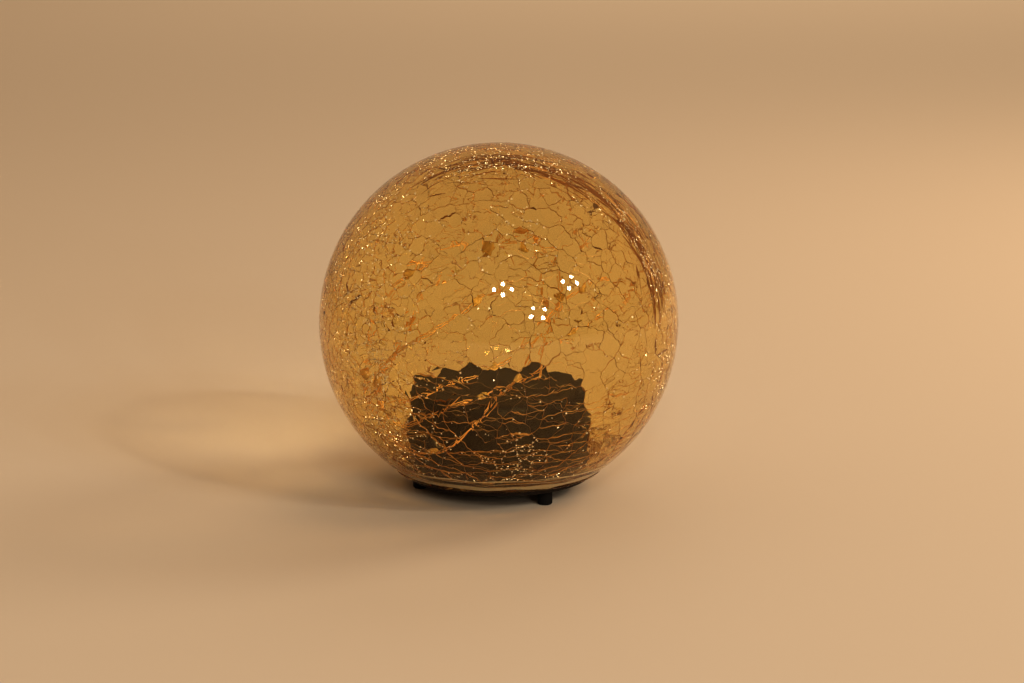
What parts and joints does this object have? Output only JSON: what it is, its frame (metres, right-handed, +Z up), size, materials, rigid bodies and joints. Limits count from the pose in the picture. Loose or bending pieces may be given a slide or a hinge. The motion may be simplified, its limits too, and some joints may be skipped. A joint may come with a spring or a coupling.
{
  "type": "crackle glass ball",
  "caption": "Hollow amber crackle glass globe on a black battery base with small post feet, with a copper wire string of lamps coiled inside.",
  "frame": {"origin": "on the supporting surface, under the globe's centre", "axes": "+Z up, along the globe's axis from its mouth to its top; +X to the right and +Y to the back as seen from the front"},
  "size_m": [0.15, 0.15, 0.1458],
  "materials": {
    "amber_glass": "clear amber, crackled",
    "black_plastic": "moulded, satin",
    "black_rubber": "matt",
    "copper_wire": "bare copper, bright",
    "lamp_resin": "clear yellowish resin drop"
  },
  "bodies": {
    "root": {"glass_globe": "amber_glass", "battery_housing": "black_plastic", "battery_door": "black_plastic", "foot_1": "black_rubber", "foot_2": "black_rubber", "foot_3": "black_rubber", "light_wire": "copper_wire", "lamp_bead_01": "lamp_resin", "lamp_bead_02": "lamp_resin", "lamp_bead_03": "lamp_resin", "lamp_bead_04": "lamp_resin", "lamp_bead_05": "lamp_resin", "lamp_bead_06": "lamp_resin", "lamp_bead_07": "lamp_resin", "lamp_bead_08": "lamp_resin", "lamp_bead_09": "lamp_resin", "lamp_bead_10": "lamp_resin", "lamp_bead_11": "lamp_resin", "lamp_bead_12": "lamp_resin", "lamp_bead_13": "lamp_resin", "lamp_bead_14": "lamp_resin", "lamp_bead_15": "lamp_resin"}
  },
  "joints": []
}
